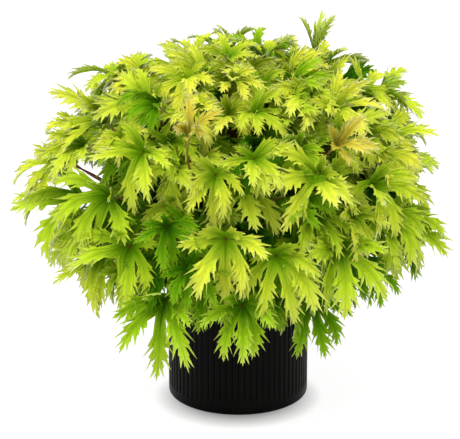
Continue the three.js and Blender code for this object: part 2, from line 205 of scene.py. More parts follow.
# Tones of the upper side of a leaf, and its underside: colour at the hub, over the blade and at the tips
TONES = {
    "gold": (paint(138, 170, 22), paint(220, 222, 62), paint(228, 228, 104)),
    "bright": (paint(114, 154, 16), paint(204, 216, 54), paint(218, 224, 94)),
    "lime": (paint(102, 146, 12), paint(190, 208, 46), paint(208, 218, 84)),
    "middle": (paint(88, 134, 10), paint(170, 198, 36), paint(196, 210, 72)),
    "fresh": (paint(72, 120, 8), paint(144, 182, 26), paint(180, 202, 58)),
    "green": (paint(52, 100, 6), paint(106, 156, 15), paint(148, 184, 36)),
    "deep": (paint(28, 74, 4), paint(62, 116, 8), paint(94, 146, 18)),
    "amber": (paint(150, 142, 40), paint(204, 190, 62), paint(216, 202, 90)),
}
# The underside is pale partly by its own colour and partly by painted light, standing in for light let
# through the thin blade
UNDERSIDE = (paint(140, 174, 50), paint(184, 206, 76), paint(200, 216, 96))
HUB_DOT = paint(110, 52, 30)

# A leaf's map has a square tile for each tone, in the tones' order, and the last one for the underside
TILE_NAMES = tuple(TONES)
UNDERSIDE_TILE = len(TILE_NAMES)
TILES_ACROSS = 3
TILE_INSET = 0.01

# Foliage masses at the sides: how many, the azimuth of the first one's stem, and the stems' elevation
SIDE_COUNT = 5
SIDE_TURN = 34
SIDE_ELEVATION = 18


# Settings


KINDS = {
    "length": (bpy.props.FloatProperty, {"unit": "LENGTH"}),
    "number": (bpy.props.FloatProperty, {}),
    "count": (bpy.props.IntProperty, {}),
    "angle": (bpy.props.FloatProperty, {"subtype": "ANGLE"}),
    "place": (bpy.props.FloatVectorProperty, {"subtype": "TRANSLATION"}),
    "way": (bpy.props.FloatVectorProperty, {"subtype": "DIRECTION"}),
    "colour": (bpy.props.FloatVectorProperty, {"subtype": "COLOR"}),
}


def setting(kind, name, description, default):
    """A setting of one of the kinds, with lengths and places in metres."""
    make, options = KINDS[kind]
    return make(name=name, description=description, default=default, **options)


class PotSizes(bpy.types.PropertyGroup):
    """Sizes and colour of the pot."""

    height: setting("length", "Height", "From the ground to the lip", 0.165)
    radius: setting("length", "Radius", "Over the ridges of the flutes", 0.084)
    flutes: setting("count", "Flutes", "Ridges round the pot", 72)
    flute_depth: setting("length", "Flute depth", "From a ridge to a groove", 0.0015)
    foot_band: setting("length", "Foot band", "Plain band below the flutes", 0.012)
    foot_round: setting("length", "Foot rounding", "Radius of the bottom edge", 0.004)
    rim_band: setting("length", "Rim band", "Plain lip above the flutes", 0.012)
    rim_proud: setting("length", "Rim overhang", "How far the lip stands out", 0.0012)
    edge: setting("length", "Edge", "Bevel of the lip and of the bands' ends", 0.0008)
    wall: setting("length", "Wall", "Thickness behind the grooves", 0.0025)
    floor: setting("length", "Floor", "Thickness of the bottom", 0.003)
    colour: setting("colour", "Colour", "Moulded plastic", paint(4, 4, 3))


class SoilSizes(bpy.types.PropertyGroup):
    """Sizes and colour of the soil."""

    top: setting("length", "Top", "Level of the soil round the crown", 0.146)
    edge_drop: setting("length", "Edge drop", "Fall towards the pot's wall", 0.005)
    clearance: setting("length", "Clearance", "Gap to the pot", 0.0003)
    roughness: setting("length", "Lumps", "Height of the lumps in the surface", 0.0022)
    crumbs: setting("count", "Crumbs", "Loose crumbs on top", 260)
    crumb_size: setting("length", "Crumb size", "Radius of the largest crumb", 0.0028)
    colour: setting("colour", "Colour", "Damp potting soil", paint(52, 38, 28))


class CrownSizes(bpy.types.PropertyGroup):
    """Sizes and colour of the woody crown, its branches and stems."""

    apex: setting("place", "Apex", "Where the crown forks", (0.004, 0.0, 0.186))
    radius: setting("length", "Radius", "Of the crown", 0.0133)
    flare: setting("length", "Flare", "Extra radius at the soil", 0.010)
    fork_radius: setting("length", "Fork radius", "Where branches start", 0.0132)
    branch_length: setting("length", "Branch length", "From the crown to the stem", 0.016)
    branch_radius: setting("length", "Branch radius", "At the crown", 0.0042)
    stem_length: setting("length", "Stem length", "Wood among the leaves", 0.080)
    stem_tip_radius: setting("length", "Stem tip radius", "At the end of the stem", 0.0020)
    relief: setting("length", "Bark relief", "Depth of the bark's ridges", 0.0009)
    colour: setting("colour", "Colour", "Bark", paint(92, 62, 42))


class MoundSizes(bpy.types.PropertyGroup):
    """The mound that the outer leaf tips reach."""

    centre: setting("place", "Centre", "Of the mound", (-0.008, 0.0, 0.238))
    radius: setting("length", "Radius", "Across the mound", 0.256)
    rise: setting("length", "Rise", "From the centre to the top", 0.206)
    fullness: setting("number", "Fullness", "2 is an ellipsoid, and more is boxier", 2.5)
    roundness: setting("number", "Roundness", "Fullness of the outline that most tips keep to", 2.0)
    lumps: setting("number", "Lumps", "How far clumps of leaves stand out, as a share", 0.06)
    lean: setting("number", "Lean", "How far the mound leans to the right as it rises", 0.08)
    skirt: setting("length", "Skirt", "Lowest leaf tip near the pot", 0.118)
    skirt_start: setting("length", "Skirt start", "Radius where the skirt starts to rise", 0.150)
    skirt_slope: setting("number", "Skirt slope", "How fast the skirt rises outwards", 0.55)


class LeafSizes(bpy.types.PropertyGroup):
    """Shape of the leaves and their stalks."""

    seed: setting("count", "Seed", "Of the plant's growth", 11)
    tries: setting("count", "Tries", "Places tried for each mass and layer", 420)
    cut: setting("number", "Cut", "From the hub to a cut, as a share of the lobes", 0.30)
    sinus: setting("number", "Sinus", "From the hub to the cut over the stalk, as a share", 0.12)
    thickness: setting("number", "Thickness", "At the hub, as a share of the length", 0.016)
    stalk_radius: setting("length", "Stalk radius", "Where a stalk leaves its stem", 0.0016)
    stalk_tip_radius: setting("length", "Stalk tip radius", "Under the leaf", 0.0011)
    stalk_root: setting("colour", "Stalk root", "Colour at the stem", paint(132, 50, 42))
    stalk_tip: setting("colour", "Stalk tip", "Colour under the leaf", paint(146, 128, 56))


class StageSettings(bpy.types.PropertyGroup):
    """Floor, light and camera."""

    floor_size: setting("length", "Floor", "Width of the floor", 24.0)
    floor_colour: setting("colour", "Floor colour", "Pale studio floor", (0.20, 0.20, 0.20))
    floor_glow: setting("number", "Floor glow", "Light that comes through the floor", 0.90)
    # The shade settings paint a shadow round the pot's foot, as a dimmer ring in the floor's glow
    shade: setting("number", "Shade", "How much of that light is lost at the pot's foot", 0.72)
    shade_reach: setting("length", "Shade reach", "How far that shade fades out over", 0.038)
    shade_shift: setting("length", "Shade shift", "How far it is shifted to the front", 0.020)
    sky: setting("number", "Sky", "Strength of the light all round", 0.80)
    key_strength: setting("number", "Key light", "Broad soft light from above the front", 2.68)
    key_softness: setting("angle", "Key softness", "Angle that the light spreads over", math.radians(50))
    key_way: setting("way", "Key direction", "The way that the light falls", (0.16, 0.34, -1.0))
    target: setting("place", "Target", "Middle of the picture", (-0.0098, 0.0, 0.2166))
    distance: setting("length", "Distance", "From the target to the camera", 2.4)
    elevation: setting("angle", "Elevation", "Of the camera", math.radians(18))
    lens: setting("number", "Lens", "Focal length in millimetres", 158.24)
    sensor: setting("number", "Sensor", "Width of the camera's sensor in millimetres", 36)
    far: setting("length", "Far", "The furthest that the camera sees", 100)


# Materials

# Numbers of a colour mix's sockets
MIX_FACTOR = 0
MIX_FIRST = 6
MIX_SECOND = 7
MIX_RESULT = 2

# Where most of a noise pattern's values lie
NOISE_MIDDLE = (0.3, 0.7)

# Leaf finish: how far streaks are drawn out across and along a lobe, how much paler its edge is, pleats
# across half a lobe and their relief, and the brightness of the painted shade in the pit at the hub
STREAKS = (9.0, 1.6, 1.0)
PALER_EDGE = 0.10
PLEATS = 2.5
PLEAT_RELIEF = 2.0
PIT_SHADE = 0.45

DUST = paint(120, 112, 100)
RUDDY_BARK = paint(104, 48, 40)
WHITE = (1, 1, 1)


class Finish:
    """A material in the making, with short ways to add nodes to its tree."""

    def __init__(self, name):
        self.material = bpy.data.materials.new(name)
        self.material.use_nodes = True
        tree = self.material.node_tree
        self.nodes = tree.nodes
        self.links = tree.links
        self.shader = tree.nodes["Principled BSDF"]

    def feed(self, socket, value):
        """Gives an input a socket or a plain value."""
        if isinstance(value, bpy.types.NodeSocket):
            self.links.new(value, socket)
        else:
            socket.default_value = (*value, 1) if socket.type == "RGBA" else value

    def give(self, name, value):
        """Gives one of the shader's inputs a socket or a plain value."""
        self.feed(self.shader.inputs[name], value)

    def node(self, kind, output, inputs, **options):
        """Adds a node with its options, feeds its inputs by name or number, and gives one of its outputs."""
        node = self.nodes.new(f"ShaderNode{kind}")
        for name, value in options.items():
            setattr(node, name, value)
        for name, value in inputs.items():
            self.feed(node.inputs[name], value)
        return node.outputs[output]

    def math(self, operation, *inputs):
        """The result of a sum on sockets or plain numbers."""
        return self.node("Math", 0, dict(enumerate(inputs)), operation=operation)

    def ramp(self, factor, stops):
        """A colour ramp over a factor, from pairs of place and colour."""
        colours = self.node("ValToRGB", "Color", {"Fac": factor})
        elements = colours.node.color_ramp.elements
        while len(elements) < len(stops):
            elements.new(1.0)
        for element, (place, colour) in zip(elements, stops):
            element.position = place
            element.color = (*colour, 1)
        return colours

    def carried(self, value, source, target):
        """A value carried from a source range to a target range, and held at its ends."""
        ends = zip(("From Min", "From Max", "To Min", "To Max"), (*source, *target))
        return self.node("MapRange", "Result", {"Value": value, **dict(ends)})

    def mixed(self, factor, first, second):
        """Two colours mixed by a factor."""
        inputs = {MIX_FACTOR: factor, MIX_FIRST: first, MIX_SECOND: second}
        return self.node("Mix", MIX_RESULT, inputs, data_type="RGBA")

    def noise(self, place, scale, detail):
        """A noise pattern's value at a place."""
        return self.node("TexNoise", "Fac", {"Vector": place, "Scale": scale, "Detail": detail})

    def bump(self, height, strength, distance):
        """Gives the shader relief from a height."""
        inputs = {"Height": height, "Strength": strength, "Distance": distance}
        self.give("Normal", self.node("Bump", "Normal", inputs))

    def object_place(self):
        """The Object coordinates of a piece."""
        return self.node("TexCoord", "Object", {})

    def map_place(self):
        """The place on a piece's own map."""
        return self.node("UVMap", "UV", {}, uv_map=MAP_NAME)

    def mapped(self, place, scale, shift=(0, 0, 0)):
        """A place stretched by a scale and then shifted."""
        return self.node("Mapping", "Vector", {"Vector": place, "Scale": scale, "Location": shift})

    def part(self, place, axis):
        """One coordinate of a place."""
        return self.node("SeparateXYZ", axis, {"Vector": place})


def leaf_material(name, tile, colours, hub_dot):
    """One side of a leaf: green at the hub, paler to the tips, and pleated along veins from the hub."""
    finish = Finish(name)
    column = tile % TILES_ACROSS
    row = tile // TILES_ACROSS
    place = finish.mapped(finish.map_place(), (TILES_ACROSS, TILES_ACROSS, 1), (-column, -row, 0))
    across = finish.part(place, "X")
    along = finish.part(place, "Y")
    hub, blade, tip = colours
    streak = finish.noise(finish.mapped(place, STREAKS), scale=1.8, detail=5.0)
    shift = finish.carried(streak, source=NOISE_MIDDLE, target=(-0.09, 0.09))
    outward = finish.math("MULTIPLY", across, PALER_EDGE)
    reach = finish.math("ADD", finish.math("ADD", along, shift), outward)
    # The ramp starts from painted shade in the pit at the hub
    ground = finish.ramp(reach, [(0.0, darker(hub, PIT_SHADE)), (0.2, hub), (0.58, blade), (1.0, tip)])
    fan = finish.math("ADD", finish.math("MULTIPLY", across, PLEATS), shift)
    pleat = finish.math("PINGPONG", fan, 0.5)
    vein = finish.carried(pleat, source=(0.0, 0.12), target=(0.30, 0.0))
    veined = finish.mixed(vein, ground, hub)
    dot = finish.carried(along, source=(0.015, 0.045), target=(1.0, 0.0))
    finish.give("Base Color", finish.mixed(dot, veined, hub_dot))
    finish.give("Roughness", finish.carried(streak, source=NOISE_MIDDLE, target=(0.44, 0.62)))
    finish.give("Specular IOR Level", 0.0)
    finish.give("Subsurface Weight", 0.5)
    finish.give("Subsurface Radius", (1.0, 1.0, 1.0))
    finish.give("Subsurface Scale", 0.0008)
    height = finish.math("ADD", finish.math("MULTIPLY", pleat, PLEAT_RELIEF), streak)
    finish.bump(height, strength=0.7, distance=0.0014)
    return finish.material


def stalk_material(leaf):
    """A stalk: burgundy at its root and olive green under the leaf."""
    finish = Finish("stalk")
    place = finish.map_place()
    mottle = finish.noise(place, scale=14.0, detail=2.0)
    shift = finish.carried(mottle, source=NOISE_MIDDLE, target=(-0.12, 0.12))
    along = finish.math("ADD", finish.part(place, "Y"), shift)
    finish.give("Base Color", finish.ramp(along, [(0.7, leaf.stalk_root), (1.0, leaf.stalk_tip)]))
    finish.give("Roughness", 0.5)
    finish.bump(mottle, strength=0.2, distance=0.0004)
    return finish.material


def pot_material(colour):
    """Satin black moulded plastic with faint scuffs and dust."""
    finish = Finish("pot_plastic_black")
    place = finish.object_place()
    cloud = finish.noise(place, scale=28.0, detail=4.0)
    grain = finish.noise(place, scale=900.0, detail=2.0)
    dust = finish.carried(cloud, source=(0.45, 0.75), target=(0.0, 0.012))
    finish.give("Base Color", finish.mixed(dust, colour, DUST))
    finish.give("Roughness", finish.carried(cloud, source=NOISE_MIDDLE, target=(0.34, 0.46)))
    finish.give("Specular IOR Level", 0.05)
    finish.bump(grain, strength=0.12, distance=0.0002)
    return finish.material


def soil_material(colour):
    """Damp soil, mottled from nearly black to brown."""
    finish = Finish("potting_soil_brown")
    place = finish.object_place()
    lumps = finish.noise(place, scale=160.0, detail=6.0)
    patches = finish.noise(place, scale=30.0, detail=3.0)
    dark = darker(colour, 0.35)
    ground = finish.ramp(lumps, [(0.32, dark), (0.68, colour)])
    damp = finish.carried(patches, source=(0.4, 0.7), target=(0.0, 0.5))
    finish.give("Base Color", finish.mixed(damp, ground, dark))
    finish.give("Roughness", 0.95)
    finish.bump(lumps, strength=0.8, distance=0.002)
    return finish.material


def bark_material(colour):
    """Rough brown bark with darker furrows and ruddy patches."""
    finish = Finish("bark_brown")
    place = finish.object_place()
    furrow = finish.noise(place, scale=220.0, detail=5.0)
    patch = finish.noise(place, scale=60.0, detail=2.0)
    ground = finish.ramp(furrow, [(0.36, darker(colour, 0.3)), (0.62, colour)])
    ruddy = finish.carried(patch, source=(0.4, 0.7), target=(0.0, 0.4))
    finish.give("Base Color", finish.mixed(ruddy, ground, RUDDY_BARK))
    finish.give("Roughness", 0.9)
    finish.bump(furrow, strength=0.7, distance=0.0015)
    return finish.material


def floor_material(stage, foot):
    """A matt studio floor that glows as a light table does, with a painted shadow: its glow is dimmer close
    round the pot's foot.
    """
    finish = Finish("studio_floor")
    place = finish.object_place()
    cloud = finish.noise(place, scale=3.0, detail=2.0)
    finish.give("Base Color", finish.mixed(cloud, stage.floor_colour, darker(stage.floor_colour, 0.98)))
    finish.give("Roughness", 0.9)
    finish.give("Specular IOR Level", 0.1)
    finish.give("Emission Color", WHITE)
    # Painted shadow: the glow fades down to a dim ring round the pot's foot, shifted to the front
    middle = FRONT * stage.shade_shift
    away = finish.node("VectorMath", "Value", {0: place, 1: middle}, operation="DISTANCE")
    inner = foot - stage.shade_shift
    fade = (inner, inner + stage.shade_reach)
    dim = stage.floor_glow * (1 - stage.shade)
    finish.give("Emission Strength", finish.carried(away, source=fade, target=(dim, stage.floor_glow)))
    return finish.material


# Meshes

# Bark ridges: how often they come round a limb and along it, and the radius below which they are
# shallower, as a multiple of their depth
RIDGES_ROUND = 3.5
RIDGES_ALONG = 60.0
RIDGE_GIRTH = 4

# A limb that heads this much along X is laid out from Y
ALONG_X = 0.8


def finished(name, mesh, materials, nodes):
    """Makes an object of a finished mesh, which stands for CAD nodes and takes its finish from a slot."""
    for material in materials:
        mesh.materials.append(material)
    piece = bpy.data.objects.new(name, mesh)
    bpy.context.scene.collection.objects.link(piece)
    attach(piece, BODY)
    if nodes:
        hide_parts(*nodes)


def mesh_of(name, shape):
    """A smooth mesh of a bmesh, which is freed."""
    mesh = bpy.data.meshes.new(name)
    shape.to_mesh(mesh)
    shape.free()
    mesh.shade_smooth()
    return mesh


def spun(shape, profile, steps):
    """Spins a profile of radius and height once round the Z axis, and closes its seam and poles."""
    corners = [shape.verts.new((radius, 0, height)) for radius, height in profile]
    edges = [shape.edges.new(pair) for pair in zip(corners, corners[1:])]
    bmesh.ops.spin(
        shape,
        geom=corners + edges,
        cent=(0, 0, 0),
        axis=UP,
        angle=FULL_TURN,
        steps=steps,
        use_merge=True,
        use_normal_flip=False,
        use_duplicate=False,
    )
    bmesh.ops.remove_doubles(shape, verts=shape.verts, dist=TINY)
    bmesh.ops.recalc_face_normals(shape, faces=shape.faces)


def limb_shape(curve, radius_at, sides, steps, relief):
    """A round limb along a curve, with bark ridges: a capped cone, cut into rings and bent to the curve."""
    shape = bmesh.new()
    bmesh.ops.create_cone(shape, cap_ends=True, cap_tris=True, segments=sides, radius1=1, radius2=1, depth=1)
    long_edges = [edge for edge in shape.edges if abs(edge.verts[0].co.z - edge.verts[1].co.z) > 1 / 2]
    bmesh.ops.subdivide_edges(shape, edges=long_edges, cuts=steps - 1, use_grid_fill=True)
    for corner in shape.verts:
        along = corner.co.z + 1 / 2
        point, heading = curve(along)
        level = RIGHT if abs(heading.x) < ALONG_X else BACK
        side = (level - heading * level.dot(heading)).normalized()
        across = side.cross(heading)
        spoke = side * corner.co.x + across * corner.co.y
        radius = radius_at(along)
        ridge = noise.noise(spoke * RIDGES_ROUND + point * RIDGES_ALONG)
        corner.co = point + spoke * (radius + relief * ridge * min(1.0, radius / (RIDGE_GIRTH * relief)))
    bmesh.ops.recalc_face_normals(shape, faces=shape.faces)
    return shape


def line_curve(start, end):
    """A straight curve from start to end, giving a point and a heading."""
    heading = (end - start).normalized()
    return lambda along: (start.lerp(end, along), heading)


def bezier_curve(start, leave, arrive, end):
    """A cubic curve through four controls, giving a point and a heading."""

    def place(t):
        back = 1 - t
        point = back**3 * start + 3 * back**2 * t * leave + 3 * back * t**2 * arrive + t**3 * end
        first = 3 * back**2 * (leave - start)
        heading = first + 6 * back * t * (arrive - leave) + 3 * t**2 * (end - arrive)
        return point, heading.normalized()

    return place


def direction(azimuth, elevation):
    """The unit vector at an azimuth and elevation in degrees."""
    turn = math.radians(azimuth)
    level = math.cos(math.radians(elevation))
    return Vector((level * math.cos(turn), level * math.sin(turn), math.sin(math.radians(elevation))))


# Growth of the plant, by the source's rule

# Places on a mass's spiral
GOLDEN_ANGLE = math.pi * (3 - math.sqrt(5))
ROUNDS = 4  # times that the spiral goes from the middle of its mass to the edge
TOP_SPREAD = 50  # degrees from the mass's axis to the edge
SIDE_SPREAD = 66
DRAWS = 6  # random numbers that a place takes

# Random numbers
SEED_STEP = 97  # from one mass to the next
WORD = 0xFFFFFFFF
WORD_STEP = 0x6D2B79F5

# Mound
REACH_STEP = 0.0003  # how closely the mound's reach is found
LUMP_SCALE = 4.0  # how small the clumps of leaves are
POT_MARGIN = 0.002  # room kept round the pot
RIM_CUT = 0.6  # where the cuts of the coarse test blade lie, as a share of the lobes
RIM_REACH = 1.02  # the size at which that blade has to fit
GAP_SHARE = 0.55  # where a blade is tested against the gaps, besides its edge
SIZES_TRIED = (1.0, 0.86, 0.74)
SHOWY_CROSSING = 0.66  # share of a showy blade that may cross no other

# How a blade faces
SHOWY_LEAN = 0.95  # of a showy blade towards the sky
SHOWY_FRONT = 0.7  # and towards the front, on the front half
LEAN = (0.5, 1.4)  # of other blades towards the sky
TOP_FRONT = 1.0  # and towards the front at the top of the mound
TIP_FALL = 0.8  # how steeply a tip points down
TURN = (-1.2, 1.2)  # of the tip from straight down, radians
TOP_SMALLER = 0.12  # share by which the leaves at the top are shorter

# How the lobes of a blade rise from the hub and arch over, radians
RISE = (0.15, 0.5)
TOP_RISE = 0.3  # more at the top of the mound
BACK_RISE = 0.8  # more for a lobe that points back
RISE_STRAY = (-0.35, 0.35)
STEEPEST = 1.4
DROOP = (0.9, 1.8)
DROOP_STRAY = (0.6, 1.5)  # times the leaf's own droop
STIFFER = 0.9  # share of the droop that a steep young leaf loses

# How the lobes differ
ANGLE_STRAY = (-8, 8)  # degrees
LOBE_LENGTHS = (0.9, 1.06)
WIDTHS = (0.60, 0.84)  # as a share of the edge tables' widths
SWINGS = (-0.2, 0.2)  # sideways, as a share of the length
TWISTS = (-0.8, 0.8)  # about the midrib, radians
FOLDS = (0.2, 0.6)  # slope of the two halves up from the midrib

# Tones: the power that a tone's draw is raised to in the middle of the front, where deeper leaves fall, and
# at the sides and the top, where paler ones do, and how far the back counts as the front
# The paler tones at the sides and the top are partly painted light, for leaves lit through from behind, and
# the deeper ones in the middle of the front are partly painted shade
PALENESS = (0.45, 3.2)
BACK_SHARE = 0.5

# Where a stalk leaves its stem, as a share of the stem, and how it curves, in shares of its span: its first
# control lies this far along the straight line to the leaf, pushed out along the stem and up, and its
# second lies below the leaf and behind it
ROOT = (0.15, 0.95)
STALK_BEND = {"along": 0.25, "out": 0.1, "up": 0.08, "below": 0.22, "behind": 0.1}


def seeded(seed):
    """Numbers from 0 to 1, in the same order on every run."""
    state = seed & WORD

    def draw():
        nonlocal state
        state = (state + WORD_STEP) & WORD
        t = ((state ^ (state >> 15)) * (state | 1)) & WORD
        t = ((t + (t ^ (t >> 7)) * (t | 61)) & WORD) ^ t
        return (t ^ (t >> 14)) / (WORD + 1)

    return draw


def between(ends, share):
    """The value at a share of the way between two ends."""
    return ends[0] + (ends[1] - ends[0]) * share


class Mound:
    """The full-shouldered ellipsoid that the outer leaf tips reach, seen from the crown's apex."""

    def __init__(self, sizes, apex):
        self.sizes = sizes
        self.centre = Vector(sizes.centre)
        self.apex = apex

    def level(self, point, fullness):
        """1 on the surface of a mound of that fullness, and less inside it."""
        offset = point - self.centre
        offset.x -= self.sizes.lean * offset.z
        across = math.hypot(offset.x, offset.y) / self.sizes.radius
        high = abs(offset.z) / self.sizes.rise
        return (across**fullness + high**fullness) ** (1 / fullness)

    def reach(self, way):
        """Distance from the apex to the surface, by halving."""
        near = 0.0
        far = 2 * self.sizes.radius
        while far - near > REACH_STEP:
            middle = (near + far) / 2
            if self.level(self.apex + way * middle, self.sizes.fullness) < 1:
                near = middle
            else:
                far = middle
        return near

    def lump(self, way):
        """The share by which a clump of leaves stands out or back in a direction."""
        return 1 + self.sizes.lumps * noise.noise(way * LUMP_SCALE)

    def outward(self, point):
        """The way that the surface faces at a point."""
        radius = self.sizes.radius
        power = self.sizes.fullness - 1
        offset = point - self.centre
        across = max(math.hypot(offset.x, offset.y), TINY)
        slope = (across / radius) ** power / radius / across
        rise = (abs(offset.z) / self.sizes.rise) ** power / self.sizes.rise
        return Vector((offset.x * slope, offset.y * slope, math.copysign(rise, offset.z))).normalized()


class Mass:
    """A mass of foliage round a woody stem from the crown's apex."""

    def __init__(self, suffix, index, axis, start, crown, seed):
        self.suffix = suffix
        self.axis = axis
        self.spread = math.radians(SIDE_SPREAD if index else TOP_SPREAD)
        self.level = UP if index else RIGHT
        apex = Vector(crown.apex)
        self.stem_start = apex + axis * start
        self.stem_end = apex + axis * (start + crown.stem_length)
        self.random = seeded(seed + SEED_STEP * index)

    def way(self, k, tries, draw):
        """The direction of place number k on the spiral that fills the mass."""
        away = self.spread * math.sqrt((((k + 0.5) * ROUNDS) / tries) % 1)
        turn = k * GOLDEN_ANGLE + draw
        side = self.level.cross(self.axis).normalized()
        lift = self.axis.cross(side)
        around = side * math.cos(turn) + lift * math.sin(turn)
        return self.axis * math.cos(away) + around * math.sin(away)


def foliage_masses(crown, seed):
    """The top mass and the side masses."""
    masses = [Mass("top", 0, UP.copy(), crown.fork_radius, crown, seed)]
    for i in range(SIDE_COUNT):
        axis = direction(SIDE_TURN + 360 * i / SIDE_COUNT, SIDE_ELEVATION)
        start = crown.fork_radius + crown.branch_length
        masses.append(Mass(f"side_{i + 1}", i + 1, axis, start, crown, seed))
    return masses


class Lobe:
    """One lobe of a leaf: its size, and how it leaves the hub and bends over under its own weight."""

    def __init__(self, row, leaf, rise, droop, random):
        angle, length, _ = row
        back = abs(angle) / 180
        self.turn = math.radians(angle + between(ANGLE_STRAY, random()))
        self.length = length * between(LOBE_LENGTHS, random())
        climb = min(STEEPEST, rise + BACK_RISE * back + between(RISE_STRAY, random()))
        level = leaf.ahead * math.cos(self.turn) - leaf.right * math.sin(self.turn)
        start = level * math.cos(climb) + leaf.normal * math.sin(climb)
        facing = leaf.normal * math.cos(climb) - level * math.sin(climb)
        fall = (-UP - start * start.dot(-UP)).normalized()
        hinge = start.cross(fall)
        self.start = np.array(start)
        self.fall = np.array(fall)
        self.hinge = np.array(hinge)
        self.facing_fall = facing.dot(fall)
        self.facing_hinge = facing.dot(hinge)
        self.furthest = start.angle(-UP)
        self.droop = droop * between(DROOP_STRAY, random())
        self.width = between(WIDTHS, random())
        self.swing = between(SWINGS, random())
        self.twist = between(TWISTS, random())
        self.fold = between(FOLDS, random())

    def surface(self, along, across):
        """Points from the hub, and the way the upper side faces, for places along and across the midrib."""
        bend = np.minimum(self.droop * along, self.furthest)
        hanging = along - bend / self.droop
        cosine = np.cos(bend)[:, None]
        sine = np.sin(bend)[:, None]
        heading = self.start * cosine + self.fall * sine
        facing = self.facing_fall * (self.fall * cosine - self.start * sine) + self.facing_hinge * self.hinge
        centre = (self.start * sine + self.fall * (1 - cosine)) / self.droop + heading * hanging[:, None]
        side = np.cross(facing, heading)
        twist = (self.twist * along)[:, None]
        leaning = side * np.cos(twist) + facing * np.sin(twist)
        upper = facing * np.cos(twist) - side * np.sin(twist)
        points = centre + side * (self.swing * along**2)[:, None] + leaning * across[:, None]
        points += upper * (self.fold * np.abs(across))[:, None]
        return points, upper


class Leaf:
    """A leaf's place on the plant: its hub, its frame, its lobes, its tone and the mass that carries it."""

    def __init__(self, mass, mound, way, depth, turn, lean, length, tone, steeper=0.0, showy=False):
        self.mass = mass
        self.tone = tone
        self.showy = showy
        self.length = length
        self.root = between(ROOT, mass.random())
        self.hub = mound.apex + way * (depth * mound.reach(way))
        outward = mound.outward(self.hub)
        if showy:
            to_front = SHOWY_FRONT if way.y < 0 else 0.0
        else:
            to_front = TOP_FRONT * max(0.0, way.z - max(0.0, way.y))
        self.normal = (outward + UP * lean + FRONT * to_front).normalized()
        ahead = Matrix.Rotation(turn, 3, self.normal) @ (outward - UP * TIP_FALL)
        self.ahead = (ahead - self.normal * ahead.dot(self.normal)).normalized()
        self.right = self.ahead.cross(self.normal)
        rise = between(RISE, mass.random()) + TOP_RISE * max(0.0, outward.z) + steeper
        droop = between(DROOP, mass.random()) * (1 - STIFFER * steeper)
        self.lobes = [Lobe(row, self, rise, droop, mass.random) for row in LOBES]

    def rim(self, share):
        """Tips and cuts round the blade at a share of its size."""
        points = []
        for lobe, after in zip(self.lobes, self.lobes[1:] + self.lobes[:1]):
            half_gap = ((after.turn - lobe.turn) % FULL_TURN) / 2
            cut = RIM_CUT * min(lobe.length, after.length)
            along = share * np.array([lobe.length, cut * math.cos(half_gap)])
            across = share * np.array([0.0, cut * math.sin(half_gap)])
            points.extend(lobe.surface(along, across)[0])
        return [self.hub + Vector(point) * self.length for point in points]

    def coarse(self, share):
        """A coarse blade to test for crossings, at a share of its size."""
        rim = self.rim(share)
        count = len(rim)
        faces = [(count, i, (i + 1) % count) for i in range(count)]
        return BVHTree.FromPolygons(rim + [self.hub], faces)

    def stalk(self):
        """The curve from the stem to the underside of the blade."""
        root = self.mass.stem_start.lerp(self.mass.stem_end, self.root)
        span = (root - self.hub).length
        outward = self.mass.axis * (STALK_BEND["out"] * span)
        upward = UP * (STALK_BEND["up"] * span)
        leave = root.lerp(self.hub, STALK_BEND["along"]) + outward + upward
        below = self.normal * (STALK_BEND["below"] * span)
        behind = self.ahead * (STALK_BEND["behind"] * span)
        return bezier_curve(root, leave, self.hub - below - behind, self.hub)


def dealt(tones, share):
    """The tone that a share from 0 to 1 falls on, by the tones' weights."""
    total = sum(weight for _, weight in tones)
    left = share * total
    for tone, weight in tones:
        left -= weight
        if left < 0:
            return tone
    return tones[-1][0]


